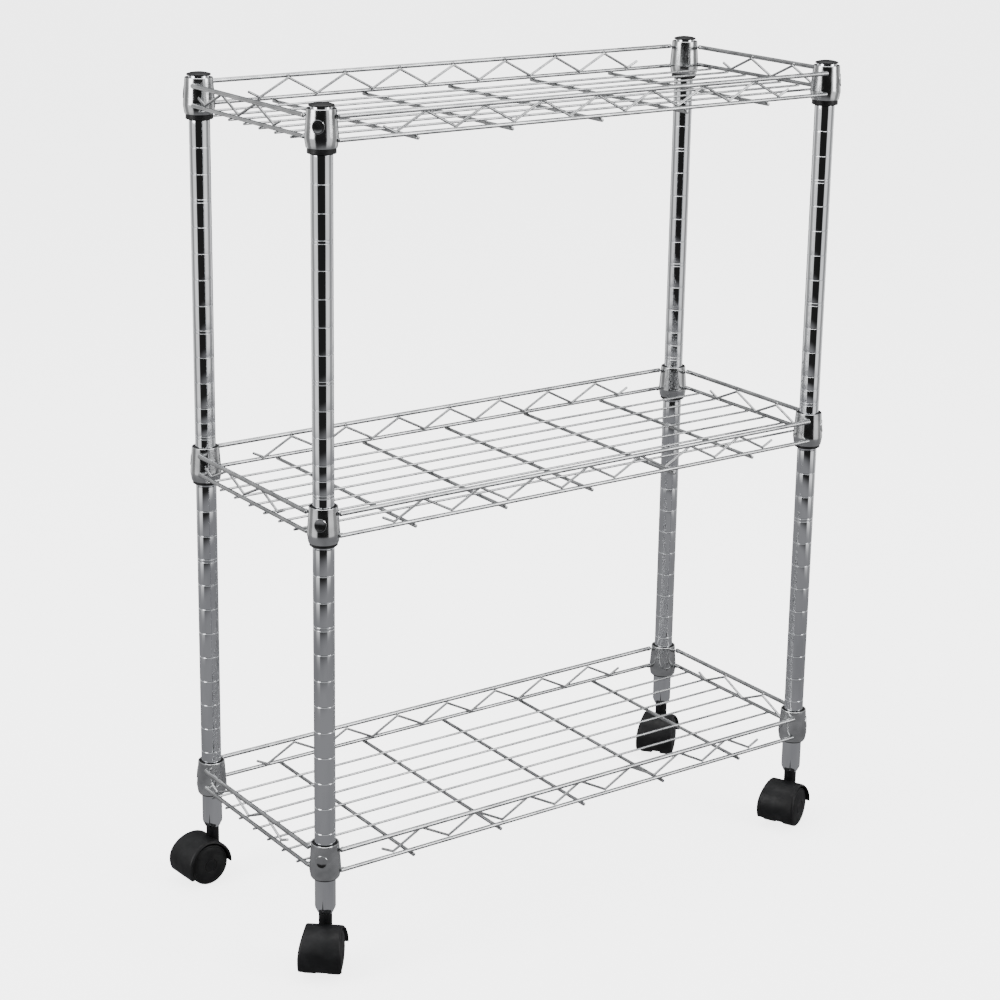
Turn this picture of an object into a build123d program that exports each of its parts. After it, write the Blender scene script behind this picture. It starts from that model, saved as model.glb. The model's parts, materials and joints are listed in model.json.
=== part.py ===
"""Three-tier chrome wire shelving rack on four twin-wheel casters.

Frame: +X along the long side, +Y towards the back, +Z up. The origin is on the floor, under the
middle of the four posts. Lengths are millimetres.
"""

import os
from math import cos, radians, sin

from build123d import *

# Posts: two grooved tubes screwed together, one above the other
POST_SPAN_X = 584.2
POST_SPAN_Y = 222.0
POST_R = 10.0
POST_WALL = 1.2
POST_BOTTOM = 55.0
POST_LENGTH = 762.0
POST_TOP = POST_BOTTOM + POST_LENGTH
POST_SEAM = POST_BOTTOM + POST_LENGTH / 2
SEAM_CHAMFER = 0.4
SWAGE_HEIGHT = 5.0
SWAGE_INSET = 2.5
SLIT_WIDTH = 1.8
SLIT_HEIGHT = 16.0
SLITS = 4
SLIT_DEGREES = 45.0
CUT_MARGIN = 1.0

# Height grooves, one inch apart. Some are doubled, and the upper tube has extra ones at its foot
GROOVE_PITCH = 25.4
GROOVE_DEPTH = 0.45
GROOVE_HALF_WIDTH = 0.6
GROOVE_FLOOR_SHARE = 0.4
GROOVE_PAIR_GAP = 3.0
UPPER_FIRST_GROOVE = 801.1
UPPER_GROOVES = 13
UPPER_DOUBLES = (4, 9)
UPPER_FOOT_GROOVES = (481.8, 468.2, 465.4, 442.6)
LOWER_FIRST_GROOVE = 417.2
LOWER_GROOVES = 13
LOWER_DOUBLES = (3,)

# Coupler that joins the two tubes of a post, and the cap on top
COUPLER_LENGTH = 44.0
COUPLER_BORE_R = 5.0
CAP_R = 11.6
CAP_RIM = 1.2
CAP_RISE = 1.8
CAP_FLAT_R = 3.0
CAP_SHOULDER_REACH = 0.72
CAP_SHOULDER_LIFT = 0.62
CAP_PLUG_LENGTH = 14.0
PLUG_CLEARANCE = 0.1

# Shelf corner collars. Split plastic sleeves fill them, each ridged to sit in one groove
SEAT_GROOVES = {"top_shelf": 801.1, "middle_shelf": 442.6, "bottom_shelf": 112.4}
RIDGE_DROP = 14.0
COLLAR_HEIGHT = 34.0
COLLAR_TOP_R = 13.3
COLLAR_SKIRT_R = 15.2
COLLAR_FOOT_R = 13.9
COLLAR_FOOT_HEIGHT = 8.0
BORE_TOP_R = 11.9
BORE_FOOT_R = 13.2
WEDGE_CLEARANCE = 0.3
SLEEVE_FIT = 0.05
SLEEVE_RECESS = 0.8
SLEEVE_SKIRTS = {"top_shelf": 5.0, "middle_shelf": 3.0, "bottom_shelf": 1.5}
SLEEVE_SPLIT = 1.0
SLEEVE_SPLIT_LENGTH = 3 * COLLAR_SKIRT_R
SLEEVE_SPLIT_DEGREES = -45
RIDGE_R = 9.7
RIDGE_HALF_WIDTH = 0.5

# Shelf wires
TOP_RAIL_R = 2.25
LOW_RAIL_R = 2.0
TRUSS_R = 1.3
DECK_R = 1.2
CROSS_R = 1.8
TOP_RAIL_DROP = 6.5
SIDE_LOW_DROP = 25.0
WELD_DEPTH = 0.15
RAIL_OFFSET = 12.0
RAIL_END_GAP = 9.2
DECK_WIRES = 7
CROSS_WIRES = 5
CROSS_PITCH = 101.6
CROSS_OVERHANG = 4.5
DECK_OVERHANG = 3.0
TRUSS_PITCH = 63.5
LONG_TRUSS_FEET = 8
SHORT_TRUSS_FEET = 3
SHORT_TRUSS_SHIFT = 19.1
TRUSS_TAIL = 0.4
TRUSS_BEND_R = 2.6

# Casters: the hood trails behind the stem, towards its own swivel direction
SWIVEL_DEGREES = {"front_left": 230.0, "front_right": 205.0, "back_left": 184.0, "back_right": 220.0}
WHEEL_R = 21.0
WHEEL_INNER = 4.6
WHEEL_RIM = 17.6
WHEEL_CROWN = 19.5
WHEEL_CROWN_LIFT = 0.68
WHEEL_EDGE = 1.4
HUB_R = 5.5
TRAIL = 15.0
AXLE_R = 2.5
AXLE_HALF = 15.0
AXLE_END_GAP = 0.6
AXLE_CLEARANCE = 0.05
WEB_HALF = 4.0
WEB_BOSS_R = 6.5
HOOD_R = 25.0
HOOD_WALL = 2.5
HOOD_HALF_WIDTH = 21.0
HOOD_EDGE = 2.0
HOOD_BACK_ANGLE = -26.0
HOOD_FRONT_ANGLE = 182.0
NECK_R = 6.5
NECK_TOP = 54.5
NECK_BASE = 33.0
STEM_R = 4.0
STEM_BASE = 42.5
STEM_TOP = 90.0
STEM_CHAMFER = 1.0
SOCKET_BASE = 61.0
SOCKET_TOP = 94.0
STEM_CLEARANCE = 0.05

COLLAR_TOPS = {shelf: groove + RIDGE_DROP for shelf, groove in SEAT_GROOVES.items()}
RAIL_X = POST_SPAN_X / 2 + RAIL_OFFSET
RAIL_Y = POST_SPAN_Y / 2 + RAIL_OFFSET
BORE_R = POST_R - POST_WALL
CORNERS = {
    "front_left": (-POST_SPAN_X / 2, -POST_SPAN_Y / 2),
    "front_right": (POST_SPAN_X / 2, -POST_SPAN_Y / 2),
    "back_left": (-POST_SPAN_X / 2, POST_SPAN_Y / 2),
    "back_right": (POST_SPAN_X / 2, POST_SPAN_Y / 2),
}
ALL_CORNERS = list(CORNERS.values())


def save(builder, name):
    """Label a finished sub-part and write it to its own STEP file."""
    builder.part.label = name
    export_step(builder.part, f"parts/{name}.step")


def axial_plane(x, y):
    """Vertical plane whose local Y is the axis of the post at (x, y)."""
    return Plane(origin=(x, y, 0), x_dir=(1, 0, 0), z_dir=(0, -1, 0))


def turned(points, x, y):
    """Closed outline of (radius, height) points beside the post axis at (x, y)."""
    with BuildSketch(axial_plane(x, y)) as profile:
        with BuildLine():
            Polyline(*points, close=True)
        make_face()
    return profile.sketch


def post_axis(x, y):
    """Axis of the post at (x, y)."""
    return Axis((x, y, 0), (0, 0, 1))


def groove_heights(first, count, doubles):
    """Heights of the grooves below `first`, with the second groove of each double."""
    heights = []
    for i in range(count):
        z = first - i * GROOVE_PITCH
        if i in doubles:
            heights += [z + GROOVE_PAIR_GAP / 2, z - GROOVE_PAIR_GAP / 2]
        else:
            heights.append(z)
    return heights


def grooved_wall(heights):
    """Outline points down a tube's outer wall, dipping into each groove."""
    floor_r = POST_R - GROOVE_DEPTH
    half_floor = GROOVE_HALF_WIDTH * GROOVE_FLOOR_SHARE
    points = []
    for z in heights:
        points += [
            (POST_R, z + GROOVE_HALF_WIDTH),
            (floor_r, z + half_floor),
            (floor_r, z - half_floor),
            (POST_R, z - GROOVE_HALF_WIDTH),
        ]
    return points


# ---------------------------------------------------------------- posts


def post_upper(corner):
    """Upper grooved tube of one post."""
    x, y = CORNERS[corner]
    grooves = groove_heights(UPPER_FIRST_GROOVE, UPPER_GROOVES, UPPER_DOUBLES)
    grooves += UPPER_FOOT_GROOVES
    outline = [(BORE_R, POST_SEAM), (BORE_R, POST_TOP), (POST_R, POST_TOP)]
    outline += grooved_wall(grooves)
    outline += [(POST_R, POST_SEAM + SEAM_CHAMFER), (POST_R - SEAM_CHAMFER, POST_SEAM)]
    with BuildPart() as tube:
        revolve(turned(outline, x, y), axis=post_axis(x, y))
    save(tube, f"post_upper_{corner}")


def post_lower(corner):
    """Lower grooved tube of one post, swaged in at its foot by four V slits."""
    x, y = CORNERS[corner]
    grooves = groove_heights(LOWER_FIRST_GROOVE, LOWER_GROOVES, LOWER_DOUBLES)
    swage_top = POST_BOTTOM + SWAGE_HEIGHT
    foot_r = POST_R - SWAGE_INSET
    wall = [
        (foot_r - POST_WALL, POST_BOTTOM),
        (BORE_R, swage_top),
        (BORE_R, POST_SEAM),
        (POST_R - SEAM_CHAMFER, POST_SEAM),
        (POST_R, POST_SEAM - SEAM_CHAMFER),
    ]
    wall += grooved_wall(grooves)
    wall += [(POST_R, swage_top), (foot_r, POST_BOTTOM)]
    slit = [(-SLIT_WIDTH / 2, POST_BOTTOM), (SLIT_WIDTH / 2, POST_BOTTOM), (0, POST_BOTTOM + SLIT_HEIGHT)]
    with BuildPart() as tube:
        revolve(turned(wall, x, y), axis=post_axis(x, y))
        for i in range(SLITS):
            angle = radians(SLIT_DEGREES + i * 360 / SLITS)
            out = (cos(angle), sin(angle), 0)
            across = (-sin(angle), cos(angle), 0)
            with BuildSketch(Plane(origin=(x, y, 0), x_dir=across, z_dir=out)):
                with BuildLine():
                    Polyline(*slit, close=True)
                make_face()
            extrude(amount=POST_R + CUT_MARGIN, mode=Mode.SUBTRACT)
    save(tube, f"post_lower_{corner}")


def post_couplers():
    """Hollow studs inside the posts that join the upper and lower tubes."""
    low = POST_SEAM - COUPLER_LENGTH / 2
    with BuildPart() as couplers:
        with BuildSketch(Plane.XY.offset(low)):
            with Locations(*ALL_CORNERS):
                Circle(BORE_R - PLUG_CLEARANCE)
                Circle(COUPLER_BORE_R, mode=Mode.SUBTRACT)
        extrude(amount=COUPLER_LENGTH)
    save(couplers, "post_couplers")


def cap_profile(x, y):
    """Half outline of a cap: plug, flange and domed head."""
    plug_r = BORE_R - PLUG_CLEARANCE
    rim = POST_TOP + CAP_RIM
    crown = rim + CAP_RISE
    shoulder = (CAP_R * CAP_SHOULDER_REACH, rim + CAP_RISE * CAP_SHOULDER_LIFT)
    with BuildSketch(axial_plane(x, y)) as profile:
        with BuildLine():
            Polyline(
                (0, crown),
                (0, POST_TOP - CAP_PLUG_LENGTH),
                (plug_r, POST_TOP - CAP_PLUG_LENGTH),
                (plug_r, POST_TOP),
                (CAP_R, POST_TOP),
                (CAP_R, rim),
            )
            ThreePointArc((CAP_R, rim), shoulder, (CAP_FLAT_R, crown))
            Line((CAP_FLAT_R, crown), (0, crown))
        make_face()
    return profile.sketch


def post_caps():
    """Plastic plugs with a low domed head on top of the posts."""
    with BuildPart() as caps:
        for x, y in ALL_CORNERS:
            revolve(cap_profile(x, y), axis=post_axis(x, y))
    save(caps, "post_caps")


# ---------------------------------------------------------------- shelves


def collars(shelf):
    """Tapered steel collars at the four corners of a shelf."""
    top = COLLAR_TOPS[shelf]
    foot = top - COLLAR_HEIGHT
    outline = [
        (BORE_TOP_R, top),
        (COLLAR_TOP_R, top),
        (COLLAR_SKIRT_R, foot + COLLAR_FOOT_HEIGHT),
        (COLLAR_FOOT_R, foot),
        (BORE_FOOT_R, foot),
    ]
    with BuildPart() as rings:
        for x, y in ALL_CORNERS:
            revolve(turned(outline, x, y), axis=post_axis(x, y))
    save(rings, f"{shelf}_collars")


def sleeves(shelf):
    """Split plastic sleeves: a pair of half cones per corner, ridged to sit in a post groove."""
    top = COLLAR_TOPS[shelf]
    crown = top - SLEEVE_RECESS
    foot = top - COLLAR_HEIGHT - SLEEVE_SKIRTS[shelf]
    taper = (BORE_FOOT_R - BORE_TOP_R) / COLLAR_HEIGHT
    crown_r = BORE_TOP_R + taper * (top - crown) - WEDGE_CLEARANCE
    foot_r = BORE_TOP_R + taper * (top - foot) - WEDGE_CLEARANCE
    inner_r = POST_R + SLEEVE_FIT
    ridge = SEAT_GROOVES[shelf]
    outline = [
        (inner_r, foot),
        (foot_r, foot),
        (crown_r, crown),
        (inner_r, crown),
        (inner_r, ridge + RIDGE_HALF_WIDTH),
        (RIDGE_R, ridge + RIDGE_HALF_WIDTH / 2),
        (RIDGE_R, ridge - RIDGE_HALF_WIDTH / 2),
        (inner_r, ridge - RIDGE_HALF_WIDTH),
    ]
    with BuildPart() as halves:
        for x, y in ALL_CORNERS:
            revolve(turned(outline, x, y), axis=post_axis(x, y))
        with BuildSketch(Plane.XY.offset(foot)):
            with Locations(*ALL_CORNERS):
                Rectangle(SLEEVE_SPLIT_LENGTH, SLEEVE_SPLIT, rotation=SLEEVE_SPLIT_DEGREES)
        extrude(amount=crown - foot, mode=Mode.SUBTRACT)
    save(halves, f"{shelf}_sleeves")


def wire_levels(shelf):
    """Centre heights of a shelf's wires, stacked as they are welded."""
    top = COLLAR_TOPS[shelf]
    side_low = top - SIDE_LOW_DROP
    deck = side_low - LOW_RAIL_R - DECK_R + WELD_DEPTH
    cross = deck - DECK_R - CROSS_R + WELD_DEPTH
    return {
        "rail": top - TOP_RAIL_DROP,
        "side_low": side_low,
        "deck": deck,
        "cross": cross,
        "long_low": cross + CROSS_R + LOW_RAIL_R - WELD_DEPTH,
    }


def long_rails(shelf, side, y):
    """Upper and lower rail along the front or the back of a shelf."""
    level = wire_levels(shelf)
    with BuildPart() as rails:
        with BuildSketch(Plane.YZ):
            with Locations((y, level["rail"])):
                Circle(TOP_RAIL_R)
            with Locations((y, level["long_low"])):
                Circle(LOW_RAIL_R)
        extrude(amount=POST_SPAN_X / 2 - RAIL_END_GAP, both=True)
    save(rails, f"{shelf}_{side}_rails")


def side_rails(shelf, side, x):
    """Upper and lower rail across the left or the right end of a shelf."""
    level = wire_levels(shelf)
    with BuildPart() as rails:
        with BuildSketch(Plane.XZ):
            with Locations((x, level["rail"])):
                Circle(TOP_RAIL_R)
            with Locations((x, level["side_low"])):
                Circle(LOW_RAIL_R)
        extrude(amount=POST_SPAN_Y / 2 - RAIL_END_GAP, both=True)
    save(rails, f"{shelf}_{side}_rails")


def deck_wires(shelf):
    """Thin wires along the shelf that carry the load, under the end rails."""
    spacing = POST_SPAN_Y / (DECK_WIRES + 1)
    with BuildPart() as wires:
        with BuildSketch(Plane.YZ):
            with Locations((0, wire_levels(shelf)["deck"])):
                with GridLocations(spacing, 1, DECK_WIRES, 1):
                    Circle(DECK_R)
        extrude(amount=RAIL_X + DECK_OVERHANG, both=True)
    save(wires, f"{shelf}_deck_wires")


def cross_wires(shelf):
    """Thicker wires across the shelf, under the deck wires and the long lower rails."""
    with BuildPart() as wires:
        with BuildSketch(Plane.XZ):
            with Locations((0, wire_levels(shelf)["cross"])):
                with GridLocations(CROSS_PITCH, 1, CROSS_WIRES, 1):
                    Circle(CROSS_R)
        extrude(amount=RAIL_Y + CROSS_OVERHANG, both=True)
    save(wires, f"{shelf}_cross_wires")


def zigzag(feet, shift, low, high):
    """Corner points of a truss wire: feet on the lower rail, peaks on the upper, a tail each end."""
    first = shift - (feet - 1) * TRUSS_PITCH / 2
    last = shift + (feet - 1) * TRUSS_PITCH / 2
    tail_run = TRUSS_TAIL * TRUSS_PITCH / 2
    tail_height = low + TRUSS_TAIL * (high - low)
    points = [(first - tail_run, tail_height), (first, low)]
    for i in range(1, feet):
        foot = first + i * TRUSS_PITCH
        points += [(foot - TRUSS_PITCH / 2, high), (foot, low)]
    points.append((last + tail_run, tail_height))
    return points


def bent_wire(plane, points):
    """Path and round section of a truss wire that bends at its corner points."""
    with BuildLine(plane) as path:
        FilletPolyline(*points, radius=TRUSS_BEND_R)
    with BuildSketch(Plane(origin=path.line @ 0, z_dir=path.line % 0)) as section:
        Circle(TRUSS_R)
    return section.sketch, path.line


def trusses(shelf):
    """Four zigzag wires, each welded to the inner faces of a pair of rails."""
    level = wire_levels(shelf)
    inset = LOW_RAIL_R + TRUSS_R - WELD_DEPTH
    long_run = zigzag(LONG_TRUSS_FEET, 0, level["long_low"], level["rail"])
    left_run = zigzag(SHORT_TRUSS_FEET, SHORT_TRUSS_SHIFT, level["side_low"], level["rail"])
    right_run = zigzag(SHORT_TRUSS_FEET, -SHORT_TRUSS_SHIFT, level["side_low"], level["rail"])
    along = {"x_dir": (1, 0, 0), "z_dir": (0, -1, 0)}
    across = {"x_dir": (0, 1, 0), "z_dir": (1, 0, 0)}
    runs = [
        (Plane(origin=(0, inset - RAIL_Y, 0), **along), long_run),
        (Plane(origin=(0, RAIL_Y - inset, 0), **along), long_run),
        (Plane(origin=(inset - RAIL_X, 0, 0), **across), left_run),
        (Plane(origin=(RAIL_X - inset, 0, 0), **across), right_run),
    ]
    with BuildPart() as wires:
        for plane, points in runs:
            section, path = bent_wire(plane, points)
            sweep(section, path=path)
    save(wires, f"{shelf}_trusses")


# ---------------------------------------------------------------- casters


def caster_planes(corner):
    """Vertical plane through the stem and the trail, with the wheels' axle as its normal."""
    x, y = CORNERS[corner]
    angle = radians(SWIVEL_DEGREES[corner])
    trail = (cos(angle), sin(angle), 0)
    normal = (sin(angle), -cos(angle), 0)
    return Plane(origin=(x, y, 0), x_dir=trail, z_dir=normal)


def stem_plane(corner, height):
    """Horizontal plane on the stem's axis."""
    x, y = CORNERS[corner]
    return Plane(origin=(x, y, height))


def hood(corner):
    """Plastic body: central web, curved cover over both wheels, and the neck that holds the stem."""
    plane = caster_planes(corner)
    inner_r = HOOD_R - HOOD_WALL
    back = radians(HOOD_BACK_ANGLE)
    front = radians(HOOD_FRONT_ANGLE)
    reach = 2 * HOOD_R
    cut = [
        (TRAIL, WHEEL_R),
        (TRAIL + reach * cos(back), WHEEL_R + reach * sin(back)),
        (TRAIL + reach * cos(back), WHEEL_R - reach),
        (TRAIL + reach * cos(front), WHEEL_R - reach),
        (TRAIL + reach * cos(front), WHEEL_R + reach * sin(front)),
    ]
    with BuildPart() as body:
        with BuildSketch(plane):
            with Locations((TRAIL, WHEEL_R)):
                Circle(HOOD_R)
        extrude(amount=HOOD_HALF_WIDTH, both=True)
        fillet(body.edges().filter_by(GeomType.CIRCLE), HOOD_EDGE)
        with BuildSketch(stem_plane(corner, NECK_BASE)):
            Circle(NECK_R)
        extrude(amount=NECK_TOP - NECK_BASE)
        for side in (-1, 1):
            with BuildSketch(plane.offset(side * WEB_HALF)):
                with Locations((TRAIL, WHEEL_R)):
                    Circle(inner_r)
            extrude(amount=side * HOOD_R, mode=Mode.SUBTRACT)
        with BuildSketch(plane):
            with BuildLine():
                Polyline(*cut, close=True)
            make_face()
            with Locations((TRAIL, WHEEL_R)):
                Circle(WEB_BOSS_R, mode=Mode.SUBTRACT)
        extrude(amount=HOOD_R, both=True, mode=Mode.SUBTRACT)
        with BuildSketch(plane):
            with Locations((TRAIL, WHEEL_R)):
                Circle(AXLE_R)
        extrude(amount=HOOD_R, both=True, mode=Mode.SUBTRACT)
        with BuildSketch(stem_plane(corner, STEM_BASE)):
            Circle(STEM_R)
        extrude(amount=STEM_TOP - STEM_BASE, mode=Mode.SUBTRACT)
    save(body, f"caster_{corner}_hood")


def stem(corner):
    """Steel pin, held in the hood's neck, that turns in the socket."""
    with BuildPart() as pin:
        with BuildSketch(stem_plane(corner, STEM_BASE)):
            Circle(STEM_R)
        extrude(amount=STEM_TOP - STEM_BASE)
        chamfer(pin.faces().sort_by(Axis.Z)[-1].edges(), STEM_CHAMFER)
    save(pin, f"caster_{corner}_stem")


def axle(corner):
    """Steel pin through the web that both wheels turn on."""
    with BuildPart() as pin:
        with BuildSketch(caster_planes(corner)):
            with Locations((TRAIL, WHEEL_R)):
                Circle(AXLE_R)
        extrude(amount=AXLE_HALF, both=True)
    save(pin, f"caster_{corner}_axle")


def wheel(corner, side, label):
    """One wheel: flat tread, crowned outer face with a raised hub, blind bore for the axle."""
    plane = caster_planes(corner)
    x, y = CORNERS[corner]
    angle = radians(SWIVEL_DEGREES[corner])
    centre = (x + TRAIL * cos(angle), y + TRAIL * sin(angle), WHEEL_R)
    section = Plane(origin=centre, x_dir=(0, 0, 1), z_dir=plane.x_dir)
    # In this plane local X is the radius and local Y runs along the axle
    axial = side if section.y_dir.dot(plane.z_dir) > 0 else -side
    bore_r = AXLE_R + AXLE_CLEARANCE
    bore_end = AXLE_HALF + AXLE_END_GAP
    bulge = WHEEL_RIM + WHEEL_CROWN_LIFT * (WHEEL_CROWN - WHEEL_RIM)
    outline = [
        (bore_r, axial * WHEEL_INNER),
        (WHEEL_R - WHEEL_EDGE, axial * WHEEL_INNER),
        (WHEEL_R, axial * (WHEEL_INNER + WHEEL_EDGE)),
        (WHEEL_R, axial * (WHEEL_RIM - WHEEL_EDGE)),
        (WHEEL_R - WHEEL_EDGE, axial * WHEEL_RIM),
    ]
    with BuildPart() as disc:
        with BuildSketch(section):
            with BuildLine():
                Polyline(*outline)
                ThreePointArc(
                    outline[-1],
                    ((WHEEL_R + HUB_R) / 2, axial * bulge),
                    (HUB_R, axial * WHEEL_CROWN),
                )
                Polyline(
                    (HUB_R, axial * WHEEL_CROWN),
                    (0, axial * WHEEL_CROWN),
                    (0, axial * bore_end),
                    (bore_r, axial * bore_end),
                    (bore_r, axial * WHEEL_INNER),
                )
            make_face()
        revolve(axis=Axis(centre, plane.z_dir))
    save(disc, f"caster_{corner}_{label}_wheel")


def caster_sockets():
    """Plastic inserts in the post feet that the stems turn in."""
    with BuildPart() as sockets:
        with BuildSketch(Plane.XY.offset(SOCKET_BASE)):
            with Locations(*ALL_CORNERS):
                Circle(BORE_R - PLUG_CLEARANCE)
                Circle(STEM_R + STEM_CLEARANCE, mode=Mode.SUBTRACT)
        extrude(amount=SOCKET_TOP - SOCKET_BASE)
    save(sockets, "caster_sockets")


def build():
    """Write every sub-part to its own file in parts."""
    os.makedirs("parts", exist_ok=True)
    for corner in CORNERS:
        post_upper(corner)
        post_lower(corner)
        hood(corner)
        stem(corner)
        axle(corner)
        wheel(corner, 1, "near")
        wheel(corner, -1, "far")
    post_couplers()
    post_caps()
    caster_sockets()
    for shelf in COLLAR_TOPS:
        collars(shelf)
        sleeves(shelf)
        deck_wires(shelf)
        cross_wires(shelf)
        long_rails(shelf, "front", -RAIL_Y)
        long_rails(shelf, "back", RAIL_Y)
        side_rails(shelf, "left", -RAIL_X)
        side_rails(shelf, "right", RAIL_X)
        trusses(shelf)


build()
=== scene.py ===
import json
import math

import bmesh
import bpy
from mathutils import Matrix, Vector, noise


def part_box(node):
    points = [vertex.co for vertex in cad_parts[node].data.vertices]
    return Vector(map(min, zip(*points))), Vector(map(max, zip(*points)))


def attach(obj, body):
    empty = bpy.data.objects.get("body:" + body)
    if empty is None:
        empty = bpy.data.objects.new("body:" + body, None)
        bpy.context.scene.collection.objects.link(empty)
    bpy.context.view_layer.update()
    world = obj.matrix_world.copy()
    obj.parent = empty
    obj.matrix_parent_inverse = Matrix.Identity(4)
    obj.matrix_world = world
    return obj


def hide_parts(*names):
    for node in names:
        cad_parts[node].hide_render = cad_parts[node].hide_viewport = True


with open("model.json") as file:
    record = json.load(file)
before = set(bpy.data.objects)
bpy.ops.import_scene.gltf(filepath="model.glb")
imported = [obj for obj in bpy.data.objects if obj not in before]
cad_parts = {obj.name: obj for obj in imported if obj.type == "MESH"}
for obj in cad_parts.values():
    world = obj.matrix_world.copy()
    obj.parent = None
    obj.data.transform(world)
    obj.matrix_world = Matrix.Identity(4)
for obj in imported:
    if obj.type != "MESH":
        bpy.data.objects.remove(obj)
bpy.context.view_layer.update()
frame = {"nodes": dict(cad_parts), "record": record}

MM = 0.001

SHELVES = ("top_shelf", "middle_shelf", "bottom_shelf")
CORNERS = ("front_left", "front_right", "back_left", "back_right")

# Posts
POST_R = 10.0
POST_BORE_R = 8.8
GROOVE_PITCH = 25.4
GROOVE_DEPTH = 0.45
GROOVE_HALF = 0.6
GROOVE_PAIR_GAP = 3.0
UPPER_FIRST_GROOVE = 801.1
UPPER_GROOVES = 13
UPPER_DOUBLES = (4, 9)
UPPER_FOOT_GROOVES = (481.8, 468.2, 465.4, 442.6)
LOWER_FIRST_GROOVE = 417.2
LOWER_GROOVES = 13
LOWER_DOUBLES = (3,)
SWAGE_HEIGHT = 5.0
SWAGE_R = 7.5
SLIT_WIDTH = 1.8
SLIT_HEIGHT = 16.0
SLITS = 4

# Shelf wires and collars
TOP_RAIL_R = 2.25
LOW_RAIL_R = 2.0
TRUSS_R = 1.3
DECK_R = 1.2
CROSS_R = 1.8
DECK_WIRES = 7
CROSS_WIRES = 5
TRUSS_PITCH = 63.5
TRUSS_TAIL = 0.4
TRUSS_BEND_R = 2.6
LONG_TRUSS_FEET = 8
SHORT_TRUSS_FEET = 3
SHORT_TRUSS_SHIFT = 19.1
WELD_DEPTH = 0.15
TRUSS_INSET = LOW_RAIL_R + TRUSS_R - WELD_DEPTH
COLLAR_HEIGHT = 34.0
COLLAR_TOP_R = 13.3
COLLAR_SKIRT_R = 15.2
COLLAR_FOOT_R = 13.9
COLLAR_FOOT_HEIGHT = 8.0
BORE_TOP_R = 11.9
BORE_FOOT_R = 13.2
SLEEVE_GAP = 0.3
SLEEVE_INNER_R = 10.05
SLEEVE_HALF_SPLIT = 0.5
PAD_HEIGHT = 19.5
PAD_R = 6.2
PAD_RISE = 0.55

# Casters
WHEEL_R = 21.0
HOOD_R = 25.0
HOOD_INNER_R = 22.5
HOOD_HALF = 21.0
HOOD_START = math.radians(-26)
HOOD_STOP = math.radians(182)
HOOD_TOP_PINCH = 0.16
WEB_HALF = 4.0
BOSS_R = 6.5
NECK_R = 6.5
NECK_SEAT_R = 23.6
NECK_TOP = 54.5
TRAIL = 15.0

# Studio: the camera is in metres and degrees
CAMERA_PLACE = (-1.338, -1.860, 1.121)
CAMERA_LENS = 85.6
CAMERA_SHIFT = -0.1
CAMERA_YAW = -35.3
CAMERA_PITCH = 15.5
CAMERA_ROLL = 0.9
DARK_SIDE = (-0.578, -0.816)
FLOOR_RADIUS = 14
FLOOR_MIRRORED = (0.9, 2.0)
BACKDROP = 4.5
FLOOR_REFLECTED = (0.30, 0.30, 0.31)


# ------------------------------------------------------------------ mesh building


def lathe(profile, place, steps=64, start=0.0, stop=2 * math.pi):
    """Turned mesh. profile is a closed loop of (radius, height), or a function of the angle giving one."""
    full = abs(stop - start - 2 * math.pi) < 1e-6
    rings = steps if full else steps + 1
    verts = []
    for i in range(rings):
        angle = start + (stop - start) * i / steps
        loop = profile(angle) if callable(profile) else profile
        verts += [place @ Vector((r * math.cos(angle), r * math.sin(angle), h)) for r, h in loop]
    count = len(verts) // rings
    faces = []
    for i in range(steps):
        j = (i + 1) % rings
        for k in range(count):
            n = (k + 1) % count
            faces.append((i * count + k, j * count + k, j * count + n, i * count + n))
    if not full:
        faces.append(tuple(reversed(range(count))))
        faces.append(tuple(range((rings - 1) * count, rings * count)))
    return verts, faces


def tube(points, radius, sides=14):
    """Round wire along points, with softly domed cut ends."""
    points = [Vector(p) for p in points]
    first = (points[1] - points[0]).normalized()
    last = (points[-1] - points[-2]).normalized()
    dome = ((0.0, 0.0), (0.0, 0.55), (0.12, 0.82), (0.4, 1.0))
    path = [(points[0] + first * radius * d, first, s) for d, s in dome]
    for a, b, c in zip(points, points[1:], points[2:]):
        path.append((b, ((b - a).normalized() + (c - b).normalized()).normalized(), 1.0))
    path += [(points[-1] - last * radius * d, last, s) for d, s in reversed(dome)]
    across = first.orthogonal().normalized()
    verts = []
    for centre, along, scale in path:
        across = (across - along * across.dot(along)).normalized()
        up = along.cross(across)
        for k in range(sides):
            a = 2 * math.pi * k / sides
            verts.append(centre + (across * math.cos(a) + up * math.sin(a)) * radius * scale)
    faces = []
    for i in range(len(path) - 1):
        for k in range(sides):
            n = (k + 1) % sides
            faces.append((i * sides + k, i * sides + n, (i + 1) * sides + n, (i + 1) * sides + k))
    return verts, faces


def weld(centre, size, sides=10, rows=6):
    """Small uneven nugget of metal where two wires are welded."""
    centre = Vector(centre)
    verts = []
    for i in range(rows + 1):
        tilt = math.pi * i / rows
        for k in range(sides):
            a = 2 * math.pi * k / sides
            unit = Vector((math.sin(tilt) * math.cos(a), math.sin(tilt) * math.sin(a), math.cos(tilt)))
            swell = 1 + 0.14 * noise.noise(centre * 0.37 + unit * 1.3)
            verts.append(centre + Vector((unit.x * size[0], unit.y * size[1], unit.z * size[2])) * swell)
    faces = []
    for i in range(rows):
        for k in range(sides):
            n = (k + 1) % sides
            faces.append((i * sides + k, (i + 1) * sides + k, (i + 1) * sides + n, i * sides + n))
    return verts, faces


def prism(outline, place, half):
    """Flat plate of a closed (x, y) outline, from -half to +half along local z."""
    count = len(outline)
    verts = [place @ Vector((x, y, h)) for h in (-half, half) for x, y in outline]
    faces = [(k, (k + 1) % count, count + (k + 1) % count, count + k) for k in range(count)]
    faces.append(tuple(reversed(range(count))))
    faces.append(tuple(range(count, 2 * count)))
    return verts, faces


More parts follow.
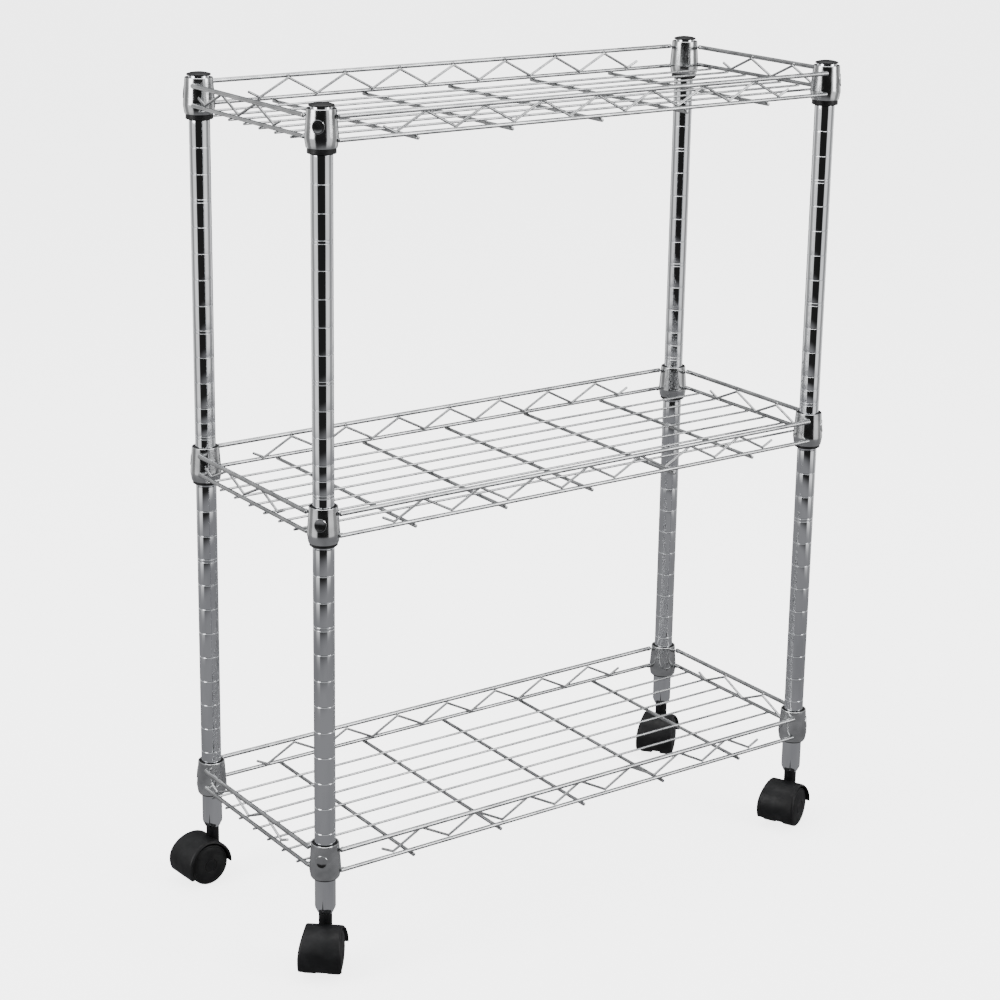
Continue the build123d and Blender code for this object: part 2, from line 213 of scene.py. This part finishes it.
def mesh_object(name, shapes):
    """One object from several (vertices, faces) shapes given in millimetres."""
    verts, faces = [], []
    for shape_verts, shape_faces in shapes:
        offset = len(verts)
        verts += [tuple(v * MM) for v in shape_verts]
        faces += [tuple(i + offset for i in face) for face in shape_faces]
    mesh = bpy.data.meshes.new(name)
    mesh.from_pydata(verts, [], faces)
    obj = bpy.data.objects.new(name, mesh)
    bpy.context.scene.collection.objects.link(obj)
    bpy.context.view_layer.objects.active = obj
    tidy(obj)
    return obj


def tidy(obj, sharp=32):
    """Merge the collapsed rings, turn all faces outwards and shade smooth up to the sharp edges."""
    bm = bmesh.new()
    bm.from_mesh(obj.data)
    bmesh.ops.remove_doubles(bm, verts=bm.verts, dist=2e-7)
    bmesh.ops.dissolve_degenerate(bm, edges=bm.edges, dist=1e-7)
    bmesh.ops.recalc_face_normals(bm, faces=bm.faces)
    bm.to_mesh(obj.data)
    bm.free()
    obj.data.shade_smooth()
    obj.data.set_sharp_from_angle(angle=math.radians(sharp))


def finish_piece(obj, material, body, slot, *nodes):
    """Give a piece its material and the body it rides on, and hide the CAD nodes it stands for. The slot is
    not used.
    """
    obj.data.materials.clear()
    obj.data.materials.append(material)
    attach(obj, body)
    if nodes:
        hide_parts(*nodes)


def corners_mm(node):
    """Lowest and highest corner of a CAD node in millimetres."""
    low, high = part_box(node)
    return low / MM, high / MM


# ------------------------------------------------------------------ materials


def shader(name, color, metallic, roughness):
    """A new material with its node tree and its Principled shader."""
    material = bpy.data.materials.new(name)
    material.use_nodes = True
    bsdf = material.node_tree.nodes["Principled BSDF"]
    bsdf.inputs["Base Color"].default_value = (*color, 1)
    bsdf.inputs["Metallic"].default_value = metallic
    bsdf.inputs["Roughness"].default_value = roughness
    return material, material.node_tree, bsdf


def noise_node(tree, scale, detail=4.0, stretch=(1, 1, 1)):
    """Noise in object space, stretched along the axes."""
    coords = tree.nodes.new("ShaderNodeTexCoord")
    mapping = tree.nodes.new("ShaderNodeMapping")
    mapping.inputs["Scale"].default_value = stretch
    texture = tree.nodes.new("ShaderNodeTexNoise")
    texture.inputs["Scale"].default_value = scale
    texture.inputs["Detail"].default_value = detail
    tree.links.new(coords.outputs["Object"], mapping.inputs["Vector"])
    tree.links.new(mapping.outputs["Vector"], texture.inputs["Vector"])
    return texture.outputs["Fac"]


def ramp(tree, source, stops):
    node = tree.nodes.new("ShaderNodeValToRGB")
    elements = node.color_ramp.elements
    for element, (position, color) in zip(elements, stops):
        element.position, element.color = position, (*color, 1)
    for position, color in stops[2:]:
        element = elements.new(position)
        element.color = (*color, 1)
    tree.links.new(source, node.inputs["Fac"])
    return node.outputs["Color"]


def vary(tree, source, low, high):
    node = tree.nodes.new("ShaderNodeMapRange")
    node.inputs["From Min"].default_value = 0.3
    node.inputs["From Max"].default_value = 0.7
    node.inputs["To Min"].default_value = low
    node.inputs["To Max"].default_value = high
    tree.links.new(source, node.inputs["Value"])
    return node.outputs["Result"]


def bump(tree, bsdf, source, strength, distance):
    node = tree.nodes.new("ShaderNodeBump")
    node.inputs["Strength"].default_value = strength
    node.inputs["Distance"].default_value = distance
    tree.links.new(source, node.inputs["Height"])
    tree.links.new(node.outputs["Normal"], bsdf.inputs["Normal"])


def chrome(name, dark, light, rough, wave, stretch=(1, 1, 1)):
    """Chrome plate: patchy gloss, faint tarnish and the slight ripple of plated steel."""
    material, tree, bsdf = shader(name, light, 1.0, rough[0])
    patches = noise_node(tree, 55, 5, stretch)
    tree.links.new(ramp(tree, patches, [(0.34, dark), (0.62, light)]), bsdf.inputs["Base Color"])
    tree.links.new(vary(tree, noise_node(tree, 130, 6, stretch), *rough), bsdf.inputs["Roughness"])
    bump(tree, bsdf, noise_node(tree, 260, 3, stretch), wave, 0.0004)
    return material


def moulded(name, dark, light, rough, grain):
    """Moulded black plastic: fine pebble grain, scuffed paler patches and uneven gloss."""
    material, tree, bsdf = shader(name, dark, 0.0, rough[0])
    bsdf.inputs["Specular IOR Level"].default_value = 0.28
    tree.links.new(
        ramp(tree, noise_node(tree, 90, 8), [(0.42, dark), (0.75, light)]), bsdf.inputs["Base Color"]
    )
    tree.links.new(vary(tree, noise_node(tree, 160, 5), *rough), bsdf.inputs["Roughness"])
    bump(tree, bsdf, noise_node(tree, 1600, 2), grain, 0.0003)
    return material


POST_CHROME = chrome(
    "post_chrome", (0.62, 0.63, 0.65), (0.78, 0.79, 0.81), (0.03, 0.09), 0.02, (1, 1, 0.15)
)
WIRE_CHROME = chrome("wire_chrome", (0.32, 0.325, 0.33), (0.5, 0.505, 0.51), (0.18, 0.32), 0.08)
COLLAR_CHROME = chrome("collar_chrome", (0.42, 0.425, 0.43), (0.62, 0.625, 0.63), (0.08, 0.2), 0.05)
STEEL = chrome("turned_steel", (0.36, 0.36, 0.37), (0.55, 0.56, 0.57), (0.22, 0.38), 0.06, (1, 1, 4))
BLACK_PLASTIC = moulded("black_plastic", (0.004, 0.004, 0.0045), (0.010, 0.010, 0.011), (0.38, 0.54), 0.1)
CASTER_PLASTIC = moulded("caster_plastic", (0.003, 0.003, 0.0035), (0.009, 0.009, 0.010), (0.4, 0.56), 0.14)
WHEEL_PLASTIC = moulded("wheel_plastic", (0.003, 0.003, 0.0035), (0.011, 0.011, 0.011), (0.46, 0.64), 0.18)


# ------------------------------------------------------------------ posts


def groove_heights(first, count, doubles):
    """Heights of the grooves down a tube, with the second groove of each double."""
    heights = []
    for i in range(count):
        z = first - i * GROOVE_PITCH
        if i in doubles:
            heights += [z + GROOVE_PAIR_GAP / 2, z - GROOVE_PAIR_GAP / 2]
        else:
            heights.append(z)
    return heights


def groove_dips(heights):
    """Wall points going down past each groove, whose edges are softly rolled."""
    above = ((0.0, 1.35), (0.06, 1.0), (0.62, 0.6), (1.0, 0.2))
    dips = above + tuple((depth, -height) for depth, height in reversed(above))
    return [
        (POST_R - depth * GROOVE_DEPTH, z + height * GROOVE_HALF)
        for z in heights
        for depth, height in dips
    ]


def cut_slits(obj, axis, foot):
    """Cut the V slits of a swaged post foot."""
    slit = [(-SLIT_WIDTH / 2, foot - 1), (SLIT_WIDTH / 2, foot - 1), (0, foot + SLIT_HEIGHT)]
    shapes = []
    for i in range(SLITS):
        turn = Matrix.Rotation(math.radians(45 + 360 / SLITS * i), 4, "Z")
        place = Matrix.Translation((axis.x, axis.y, 0)) @ turn @ Matrix(
            ((0, 0, 1, POST_R), (1, 0, 0, 0), (0, 1, 0, 0), (0, 0, 0, 1))
        )
        shapes.append(prism(slit, place, POST_R - 5))
    cutter = mesh_object("slit_cutter", shapes)
    modifier = obj.modifiers.new("slits", "BOOLEAN")
    modifier.object = cutter
    modifier.operation = "DIFFERENCE"
    modifier.solver = "EXACT"
    graph = bpy.context.evaluated_depsgraph_get()
    cut = bpy.data.meshes.new_from_object(obj.evaluated_get(graph))
    obj.modifiers.clear()
    obj.data = cut
    bpy.data.objects.remove(cutter)
    tidy(obj)


def build_posts():
    for corner in CORNERS:
        for half in ("upper", "lower"):
            node = f"post_{half}_{corner}"
            low, high = corners_mm(node)
            axis = (low + high) / 2
            place = Matrix.Translation((axis.x, axis.y, 0))
            wall = [(POST_BORE_R, high.z - 0.3), (POST_BORE_R + 0.3, high.z), (POST_R - 0.4, high.z)]
            wall += [(POST_R - 0.1, high.z - 0.12), (POST_R, high.z - 0.4)]
            if half == "upper":
                wall += groove_dips(groove_heights(UPPER_FIRST_GROOVE, UPPER_GROOVES, UPPER_DOUBLES))
                wall += groove_dips(UPPER_FOOT_GROOVES)
                wall += [(POST_R, low.z + 0.4), (POST_R - 0.4, low.z), (POST_BORE_R, low.z)]
            else:
                wall += groove_dips(groove_heights(LOWER_FIRST_GROOVE, LOWER_GROOVES, LOWER_DOUBLES))
                wall += [
                    (POST_R, low.z + SWAGE_HEIGHT + 1.2),
                    (POST_R - 0.25, low.z + SWAGE_HEIGHT),
                    (SWAGE_R + 0.15, low.z + 0.4),
                    (SWAGE_R - 0.1, low.z),
                    (SWAGE_R - 1.1, low.z),
                    (POST_BORE_R, low.z + SWAGE_HEIGHT),
                ]
            tube_piece = mesh_object(f"{node}_tube", [lathe(wall, place, 72)])
            if half == "lower":
                cut_slits(tube_piece, axis, low.z)
            finish_piece(tube_piece, POST_CHROME, "frame", "post_chrome", node)


def post_axes():
    """The four post axes, in millimetres."""
    axes = []
    for corner in CORNERS:
        low, high = corners_mm(f"post_upper_{corner}")
        axes.append((low + high) / 2)
    return axes


def build_caps():
    low, high = corners_mm("post_caps")
    seat = corners_mm("post_upper_front_left")[1].z
    rim = seat + 1.2
    plug_r = POST_BORE_R - 0.1
    profile = [(0, low.z), (plug_r - 0.6, low.z), (plug_r, low.z + 0.8), (plug_r, seat)]
    profile += [(11.2, seat), (11.55, seat + 0.2), (11.6, seat + 0.6), (11.45, rim - 0.1)]
    profile += [(11.1, rim + 0.15), (8.5, rim + 0.95), (5.6, rim + 1.5), (3.0, high.z), (0, high.z)]
    shapes = [lathe(profile, Matrix.Translation((a.x, a.y, 0)), 56) for a in post_axes()]
    finish_piece(mesh_object("cap_set", shapes), BLACK_PLASTIC, "frame", "black_plastic", "post_caps")


def build_sleeves(shelf):
    """Two half cones in each collar, with their split facing across the corner."""
    low, high = corners_mm(f"{shelf}_sleeves")
    collar_low, collar_high = corners_mm(f"{shelf}_collars")
    taper = (BORE_FOOT_R - BORE_TOP_R) / (collar_high.z - collar_low.z)
    crown_r = BORE_TOP_R + taper * (collar_high.z - high.z) - SLEEVE_GAP
    foot_r = BORE_TOP_R + taper * (collar_high.z - low.z) - SLEEVE_GAP
    profile = [(SLEEVE_INNER_R, low.z), (foot_r - 0.4, low.z), (foot_r, low.z + 0.4)]
    profile += [(crown_r, high.z - 0.3), (crown_r - 0.3, high.z), (SLEEVE_INNER_R, high.z)]
    split = SLEEVE_HALF_SPLIT / SLEEVE_INNER_R
    shapes = []
    for axis in post_axes():
        for side in (0, 1):
            start = math.radians(-45) + side * math.pi + split
            place = Matrix.Translation((axis.x, axis.y, 0))
            shapes.append(lathe(profile, place, 32, start, start + math.pi - 2 * split))
    piece = mesh_object(f"{shelf}_sleeve_halves", shapes)
    finish_piece(piece, BLACK_PLASTIC, "frame", "black_plastic", f"{shelf}_sleeves")


# ------------------------------------------------------------------ shelves


def collar_radius(height):
    """Outer radius of a collar at a height above its foot."""
    if height < COLLAR_FOOT_HEIGHT:
        return COLLAR_FOOT_R + (COLLAR_SKIRT_R - COLLAR_FOOT_R) * height / COLLAR_FOOT_HEIGHT
    rise = (height - COLLAR_FOOT_HEIGHT) / (COLLAR_HEIGHT - COLLAR_FOOT_HEIGHT)
    return COLLAR_SKIRT_R + (COLLAR_TOP_R - COLLAR_SKIRT_R) * rise


def collar_pad(axis, foot, facing):
    """Plain round pad pressed out of the collar's face, with a raised rim."""
    rings = ((1.0, -0.5), (1.0, 0.25), (0.94, PAD_RISE), (0.8, PAD_RISE), (0.72, 0.3), (0.0, 0.36))
    sides = 40
    verts = []
    for spread, rise in rings:
        for k in range(sides):
            a = 2 * math.pi * k / sides
            height = PAD_HEIGHT + PAD_R * spread * math.sin(a)
            radius = collar_radius(height)
            angle = facing + PAD_R * spread * math.cos(a) / radius
            out = radius + rise
            x, y = axis.x + out * math.cos(angle), axis.y + out * math.sin(angle)
            verts.append(Vector((x, y, foot + height)))
    faces = []
    for i in range(len(rings) - 1):
        for k in range(sides):
            n = (k + 1) % sides
            faces.append((i * sides + k, i * sides + n, (i + 1) * sides + n, (i + 1) * sides + k))
    faces.append(tuple(reversed(range(sides))))
    return verts, faces


def build_collars(shelf):
    low, high = corners_mm(f"{shelf}_collars")
    foot, top = low.z, high.z
    profile = [(BORE_TOP_R, top - 0.3), (BORE_TOP_R + 0.3, top), (COLLAR_TOP_R - 0.5, top)]
    profile += [(COLLAR_TOP_R - 0.1, top - 0.25), (COLLAR_TOP_R, top - 0.7)]
    profile += [(COLLAR_TOP_R + 0.35, top - 5.0)]
    profile += [(collar_radius(9.8), foot + 9.8), (COLLAR_SKIRT_R - 0.05, foot + 8.6)]
    profile += [(COLLAR_SKIRT_R - 0.1, foot + 7.2), (collar_radius(4), foot + 4)]
    profile += [(COLLAR_FOOT_R + 0.1, foot + 0.6)]
    profile += [(COLLAR_FOOT_R - 0.15, foot), (BORE_FOOT_R, foot), (BORE_FOOT_R, foot + 0.4)]
    shapes = []
    for axis in post_axes():
        shapes.append(lathe(profile, Matrix.Translation((axis.x, axis.y, 0)), 72))
        facing = math.atan2(math.copysign(1, axis.y), math.copysign(1, axis.x))
        shapes.append(collar_pad(axis, foot, facing))
    piece = mesh_object(f"{shelf}_collar_set", shapes)
    finish_piece(piece, COLLAR_CHROME, shelf, "collar_chrome", f"{shelf}_collars")


def spread(low, high, count, margin):
    """Even positions of count wires whose outer edges are at low and high."""
    first = low + margin
    return [first + (high - low - 2 * margin) * i / (count - 1) for i in range(count)]


def zigzag(feet, shift, low, high):
    """Corner points of a truss wire, with a short tail at each end."""
    first = shift - (feet - 1) * TRUSS_PITCH / 2
    last = shift + (feet - 1) * TRUSS_PITCH / 2
    tail_run = TRUSS_TAIL * TRUSS_PITCH / 2
    tail_height = low + TRUSS_TAIL * (high - low)
    points = [(first - tail_run, tail_height), (first, low)]
    for i in range(1, feet):
        foot = first + i * TRUSS_PITCH
        points += [(foot - TRUSS_PITCH / 2, high), (foot, low)]
    points.append((last + tail_run, tail_height))
    return points


def rounded(points, radius, steps=6):
    """The same run of points with each corner turned into an arc."""
    path = [Vector(points[0])]
    for a, b, c in zip(points, points[1:], points[2:]):
        back = (Vector(a) - Vector(b)).normalized()
        on = (Vector(c) - Vector(b)).normalized()
        half = back.angle(on) / 2
        centre = Vector(b) + (back + on).normalized() * radius / math.sin(half)
        start = Vector(b) + back * radius / math.tan(half) - centre
        stop = Vector(b) + on * radius / math.tan(half) - centre
        for i in range(steps + 1):
            path.append(centre + start.slerp(stop, i / steps))
    path.append(Vector(points[-1]))
    return path


def rail_levels(node, is_long):
    """Heights of the upper and lower rail of one side and the position across."""
    low, high = corners_mm(node)
    middle = (low + high) / 2
    across = middle.y if is_long else middle.x
    return high.z - TOP_RAIL_R, low.z + LOW_RAIL_R, across


def build_rails(shelf, side, deck, cross):
    """The two rails of one side of a shelf, with the welds on them."""
    node = f"{shelf}_{side}_rails"
    is_long = side in ("front", "back")
    _, high = corners_mm(node)
    upper, lower, across = rail_levels(node, is_long)
    reach = high.x if is_long else high.y
    outward = math.copysign(1, across)
    shapes = []

    def at(along, level, offset=0.0):
        sideways = across + offset * outward
        return (along, sideways, level) if is_long else (sideways, along, level)

    for level, radius in ((upper, TOP_RAIL_R), (lower, LOW_RAIL_R)):
        shapes.append(tube([at(-reach, level), at(0, level), at(reach, level)], radius, 18))
        for end in (-1, 1):
            size = (3.0, 1.7, 2.1) if is_long else (1.7, 3.0, 2.1)
            shapes.append(weld(at(end * (reach - 3.4), level, -1.6), size))
    feet, shift = truss_layout(side)
    size = (2.4, 1.3, 1.2) if is_long else (1.3, 2.4, 1.2)
    for along, level in zigzag(feet, shift, lower, upper)[1:-1]:
        shapes.append(weld(at(along, level, -TRUSS_INSET / 2), size))
    if is_long:
        for along in cross:
            shapes.append(weld(at(along, lower - LOW_RAIL_R, 0), (1.7, 2.0, 0.9)))
    else:
        for along in deck:
            shapes.append(weld(at(along, lower - LOW_RAIL_R, 0), (1.8, 1.2, 0.8)))
    piece = mesh_object(f"{shelf}_{side}_rail_pair", shapes)
    finish_piece(piece, WIRE_CHROME, shelf, "wire_chrome", node)


def truss_layout(side):
    """Number of feet and sideways shift of the truss on one side."""
    if side in ("front", "back"):
        return LONG_TRUSS_FEET, 0.0
    return SHORT_TRUSS_FEET, SHORT_TRUSS_SHIFT if side == "left" else -SHORT_TRUSS_SHIFT


def build_trusses(shelf):
    shapes = []
    for side in ("front", "back", "left", "right"):
        is_long = side in ("front", "back")
        upper, lower, across = rail_levels(f"{shelf}_{side}_rails", is_long)
        across -= math.copysign(TRUSS_INSET, across)
        feet, shift = truss_layout(side)
        path = rounded(zigzag(feet, shift, lower, upper), TRUSS_BEND_R)
        if is_long:
            points = [(p.x, across, p.y) for p in path]
        else:
            points = [(across, p.x, p.y) for p in path]
        shapes.append(tube(points, TRUSS_R, 14))
    piece = mesh_object(f"{shelf}_truss_set", shapes)
    finish_piece(piece, WIRE_CHROME, shelf, "wire_chrome", f"{shelf}_trusses")


def build_deck(shelf):
    """Deck wires and cross wires, with a weld at every crossing."""
    low, high = corners_mm(f"{shelf}_deck_wires")
    cross_low, cross_high = corners_mm(f"{shelf}_cross_wires")
    deck = spread(low.y, high.y, DECK_WIRES, DECK_R)
    cross = spread(cross_low.x, cross_high.x, CROSS_WIRES, CROSS_R)
    deck_level = (low.z + high.z) / 2
    cross_level = (cross_low.z + cross_high.z) / 2
    wires = [
        tube([(low.x, y, deck_level), (0, y, deck_level), (high.x, y, deck_level)], DECK_R)
        for y in deck
    ]
    piece = mesh_object(f"{shelf}_deck_wire_set", wires)
    finish_piece(piece, WIRE_CHROME, shelf, "wire_chrome", f"{shelf}_deck_wires")
    wires = [
        tube([(x, y, cross_level) for y in (cross_low.y, 0, cross_high.y)], CROSS_R, 16)
        for x in cross
    ]
    joint = (deck_level - DECK_R + cross_level + CROSS_R) / 2
    wires += [weld((x, y, joint), (1.9, 1.5, 0.75)) for x in cross for y in deck]
    piece = mesh_object(f"{shelf}_cross_wire_set", wires)
    finish_piece(piece, WIRE_CHROME, shelf, "wire_chrome", f"{shelf}_cross_wires")
    return deck, cross


# ------------------------------------------------------------------ casters


def caster_place(spin):
    """Matrix of a caster: origin on the axle, x along the trail, y up, z along the axle."""
    centre = Vector(spin["pos_m"]) / MM
    axle = Vector(spin["axis"]).normalized()
    trail = Vector((-axle.y, axle.x, 0))
    turn = Matrix((trail, (0, 0, 1), trail.cross(Vector((0, 0, 1))))).transposed().to_4x4()
    return Matrix.Translation(centre) @ turn, centre, trail


def hood_band(angle):
    """Section of the hood's cover, narrower over the top than at the axle."""
    half = HOOD_HALF * (1 - HOOD_TOP_PINCH * max(0.0, math.sin(angle)) ** 2)
    corner = ((-2.6, 0.0), (-1.3, -0.25), (-0.35, -1.1), (0.0, -2.0))
    outer = [(HOOD_R + down, half + in_) for in_, down in corner]
    section = [(r, -h) for r, h in reversed(outer)] + outer
    section += [(HOOD_INNER_R + 0.1, half), (HOOD_INNER_R, half - 0.3)]
    section += [(HOOD_INNER_R, 0.3 - half), (HOOD_INNER_R + 0.1, -half)]
    return section


def arc(radius, start, stop, steps):
    """Points of an arc about the origin."""
    angles = [start + (stop - start) * i / steps for i in range(steps + 1)]
    return [(radius * math.cos(a), radius * math.sin(a)) for a in angles]


def neck_section(angle):
    """Neck of the hood, whose foot follows the curve of the cover."""
    seat = math.sqrt(NECK_SEAT_R ** 2 - (TRAIL - NECK_R * math.cos(angle)) ** 2)
    middle = math.sqrt(NECK_SEAT_R ** 2 - TRAIL ** 2)
    top = NECK_TOP - WHEEL_R
    return [(0, middle), (NECK_R, seat), (NECK_R, top - 0.6), (NECK_R - 0.6, top), (0, top)]


def wheel_profile(side):
    """Wheel section on one side of the web: rounded tread, dished back, crowned face with a hub ring."""
    points = [
        (2.55, 4.6), (6.0, 4.6), (6.6, 6.0), (16.2, 6.4), (17.0, 4.9), (19.6, 4.6), (20.6, 5.0),
        (21.0, 6.0),
        (21.0, 16.2), (20.7, 17.2), (19.8, 17.7), (18.9, 17.55), (18.5, 17.9), (15.0, 18.65), (10.5, 19.15),
        (7.4, 19.3), (6.9, 18.9), (6.4, 18.9), (5.9, 19.4), (3.0, 19.5), (0, 19.5), (0, 15.7), (2.55, 15.7),
    ]
    return [(r, side * h) for r, h in points]


def build_caster(corner, joints):
    spin = joints[f"wheel_{corner}_near_spin"]
    place, centre, trail = caster_place(spin)
    Vector(spin['axis']).normalized()
    body = f"caster_{corner}"
    band = lathe(hood_band, place, 72, HOOD_START, HOOD_STOP)
    web_outline = arc(23.4, HOOD_START, HOOD_STOP, 48)
    web_outline += arc(BOSS_R, HOOD_STOP, HOOD_START + 2 * math.pi, 20)
    web = prism(web_outline, place, WEB_HALF)
    stem_axis = centre - trail * TRAIL
    heading = math.atan2(trail.y, trail.x)
    neck_place = Matrix.Translation(stem_axis) @ Matrix.Rotation(heading, 4, "Z")
    hood = mesh_object(f"{body}_cover", [band, web, lathe(neck_section, neck_place, 40)])
    finish_piece(hood, CASTER_PLASTIC, body, "caster_plastic", f"{body}_hood")
    for label in ("near", "far"):
        node = f"{body}_{label}_wheel"
        low, high = corners_mm(node)
        away = ((low + high) / 2 - centre).dot(place.col[2].xyz)
        disc = mesh_object(f"{node}_disc", [lathe(wheel_profile(math.copysign(1, away)), place, 72)])
        finish_piece(disc, WHEEL_PLASTIC, f"wheel_{corner}_{label}", "wheel_plastic", node)
    for node in (f"{body}_stem", f"{body}_axle"):
        dress(node, STEEL)


def dress(node, material):
    """Give a carried-over CAD node its material."""
    mesh = frame["nodes"][node].data
    mesh.materials.clear()
    mesh.materials.append(material)


# ------------------------------------------------------------------ studio


def build_floor():
    """Plain white floor. Mirror reflections see a greyer floor that ends a little way from the rack."""
    bpy.ops.mesh.primitive_circle_add(vertices=96, radius=FLOOR_RADIUS, fill_type="NGON", location=(0, 0, 0))
    floor = bpy.context.object
    floor.name = "studio_floor"
    material, tree, bsdf = shader("floor_paint", (0.93, 0.93, 0.93), 0.0, 0.9)
    bsdf.inputs["Specular IOR Level"].default_value = 0.1
    coords = tree.nodes.new("ShaderNodeTexCoord")
    length = tree.nodes.new("ShaderNodeVectorMath")
    length.operation = "LENGTH"
    edge = tree.nodes.new("ShaderNodeMapRange")
    edge.interpolation_type = "SMOOTHSTEP"
    edge.inputs["From Min"].default_value = FLOOR_MIRRORED[0]
    edge.inputs["From Max"].default_value = FLOOR_MIRRORED[1]
    grey = tree.nodes.new("ShaderNodeEmission")
    grey.inputs["Color"].default_value = (*FLOOR_REFLECTED, 1)
    clear = tree.nodes.new("ShaderNodeBsdfTransparent")
    mirrored = tree.nodes.new("ShaderNodeMixShader")
    ray = tree.nodes.new("ShaderNodeLightPath")
    mix = tree.nodes.new("ShaderNodeMixShader")
    glow = tree.nodes.new("ShaderNodeEmission")
    tree.links.new(ray.outputs["Is Camera Ray"], glow.inputs["Strength"])
    glow.inputs["Color"].default_value = (BACKDROP - 1, BACKDROP - 1, BACKDROP - 1, 1)
    lit = tree.nodes.new("ShaderNodeAddShader")
    tree.links.new(bsdf.outputs["BSDF"], lit.inputs[0])
    tree.links.new(glow.outputs["Emission"], lit.inputs[1])
    tree.links.new(coords.outputs["Object"], length.inputs[0])
    tree.links.new(length.outputs["Value"], edge.inputs["Value"])
    tree.links.new(edge.outputs["Result"], mirrored.inputs["Fac"])
    tree.links.new(grey.outputs["Emission"], mirrored.inputs[1])
    tree.links.new(clear.outputs["BSDF"], mirrored.inputs[2])
    tree.links.new(ray.outputs["Is Glossy Ray"], mix.inputs["Fac"])
    tree.links.new(lit.outputs["Shader"], mix.inputs[1])
    tree.links.new(mirrored.outputs["Shader"], mix.inputs[2])
    tree.links.new(mix.outputs["Shader"], tree.nodes["Material Output"].inputs["Surface"])
    floor.data.materials.append(material)


def build_world(facing):
    """White studio with a dark side towards the room that faces the rack's front-left corner."""
    world = bpy.data.worlds.new("studio")
    bpy.context.scene.world = world
    world.use_nodes = True
    tree = world.node_tree
    background = tree.nodes["Background"]
    coords = tree.nodes.new("ShaderNodeTexCoord")
    flat = tree.nodes.new("ShaderNodeVectorMath")
    flat.operation = "MULTIPLY"
    flat.inputs[1].default_value = (1, 1, 0)
    unit = tree.nodes.new("ShaderNodeVectorMath")
    unit.operation = "NORMALIZE"
    dot = tree.nodes.new("ShaderNodeVectorMath")
    dot.operation = "DOT_PRODUCT"
    dot.inputs[1].default_value = (*facing, 0)
    scale = tree.nodes.new("ShaderNodeMapRange")
    scale.inputs["From Min"].default_value = -1
    tree.links.new(coords.outputs["Generated"], flat.inputs[0])
    tree.links.new(flat.outputs["Vector"], unit.inputs[0])
    tree.links.new(unit.outputs["Vector"], dot.inputs[0])
    tree.links.new(dot.outputs["Value"], scale.inputs["Value"])
    dark, grey, white = (0.02,) * 3, (0.42,) * 3, (1.25,) * 3
    stops = [
        (0.0, dark), (0.07, dark), (0.11, white), (0.24, white), (0.30, grey), (0.55, grey),
        (0.60, white), (0.85, white), (0.90, dark), (1.0, dark),
    ]
    room = ramp(tree, scale.outputs["Result"], stops)
    split = tree.nodes.new("ShaderNodeSeparateXYZ")
    tree.links.new(coords.outputs["Generated"], split.inputs["Vector"])
    height = tree.nodes.new("ShaderNodeMapRange")
    height.interpolation_type = "SMOOTHSTEP"
    height.inputs["From Min"].default_value = 0.15
    height.inputs["From Max"].default_value = 0.6
    tree.links.new(split.outputs["Z"], height.inputs["Value"])
    sky = tree.nodes.new("ShaderNodeMix")
    sky.data_type = "RGBA"
    sky.inputs["B"].default_value = (0.6, 0.61, 0.62, 1)
    tree.links.new(height.outputs["Result"], sky.inputs["Factor"])
    tree.links.new(room, sky.inputs["A"])
    ray = tree.nodes.new("ShaderNodeLightPath")
    seen = tree.nodes.new("ShaderNodeMix")
    seen.data_type = "RGBA"
    seen.inputs["B"].default_value = (BACKDROP, BACKDROP, BACKDROP, 1)
    tree.links.new(ray.outputs["Is Camera Ray"], seen.inputs["Factor"])
    tree.links.new(sky.outputs["Result"], seen.inputs["A"])
    tree.links.new(seen.outputs["Result"], background.inputs["Color"])
    background.inputs["Strength"].default_value = 1.0


def softbox(name, location, target, size, watts):
    data = bpy.data.lights.new(name, "AREA")
    data.shape = "RECTANGLE"
    data.size, data.size_y = size
    data.energy = watts
    lamp = bpy.data.objects.new(name, data)
    bpy.context.scene.collection.objects.link(lamp)
    lamp.location = location
    lamp.rotation_euler = (Vector(target) - Vector(location)).to_track_quat("-Z", "Y").to_euler()


def build_camera():
    """Long lens from the front-left, a little above the top shelf."""
    data = bpy.data.cameras.new("camera")
    camera = bpy.data.objects.new("camera", data)
    bpy.context.scene.collection.objects.link(camera)
    data.sensor_width = 36.0
    data.lens = CAMERA_LENS
    data.shift_y = CAMERA_SHIFT
    data.clip_start, data.clip_end = 0.05, 50
    camera.location = CAMERA_PLACE
    yaw, pitch, roll = (math.radians(a) for a in (CAMERA_YAW, CAMERA_PITCH, CAMERA_ROLL))
    turn = Matrix.Rotation(yaw, 4, "Z") @ Matrix.Rotation(math.pi / 2 - pitch, 4, "X")
    camera.rotation_euler = (turn @ Matrix.Rotation(roll, 4, "Z")).to_euler()
    bpy.context.scene.camera = camera


def build_shelf(shelf):
    build_collars(shelf)
    build_sleeves(shelf)
    deck, cross = build_deck(shelf)
    for side in ("front", "back", "left", "right"):
        build_rails(shelf, side, deck, cross)
    build_trusses(shelf)


joints = {joint["name"]: joint for joint in frame["record"]["behaviour"]["joints"]}
build_posts()
build_caps()
dress("post_couplers", STEEL)
dress("caster_sockets", BLACK_PLASTIC)
for shelf in SHELVES:
    build_shelf(shelf)
for corner in CORNERS:
    build_caster(corner, joints)
build_floor()
build_world(DARK_SIDE)
softbox("left_box", (-2.6, 0.2, 1.6), (0, 0, 0.4), (1.4, 2.2), 60)
softbox("right_box", (1.6, -2.4, 1.7), (0, 0, 0.4), (1.2, 2.2), 50)
softbox("top_box", (0.2, 0.3, 3.0), (0, 0, 0), (2.4, 2.0), 60)
build_camera()
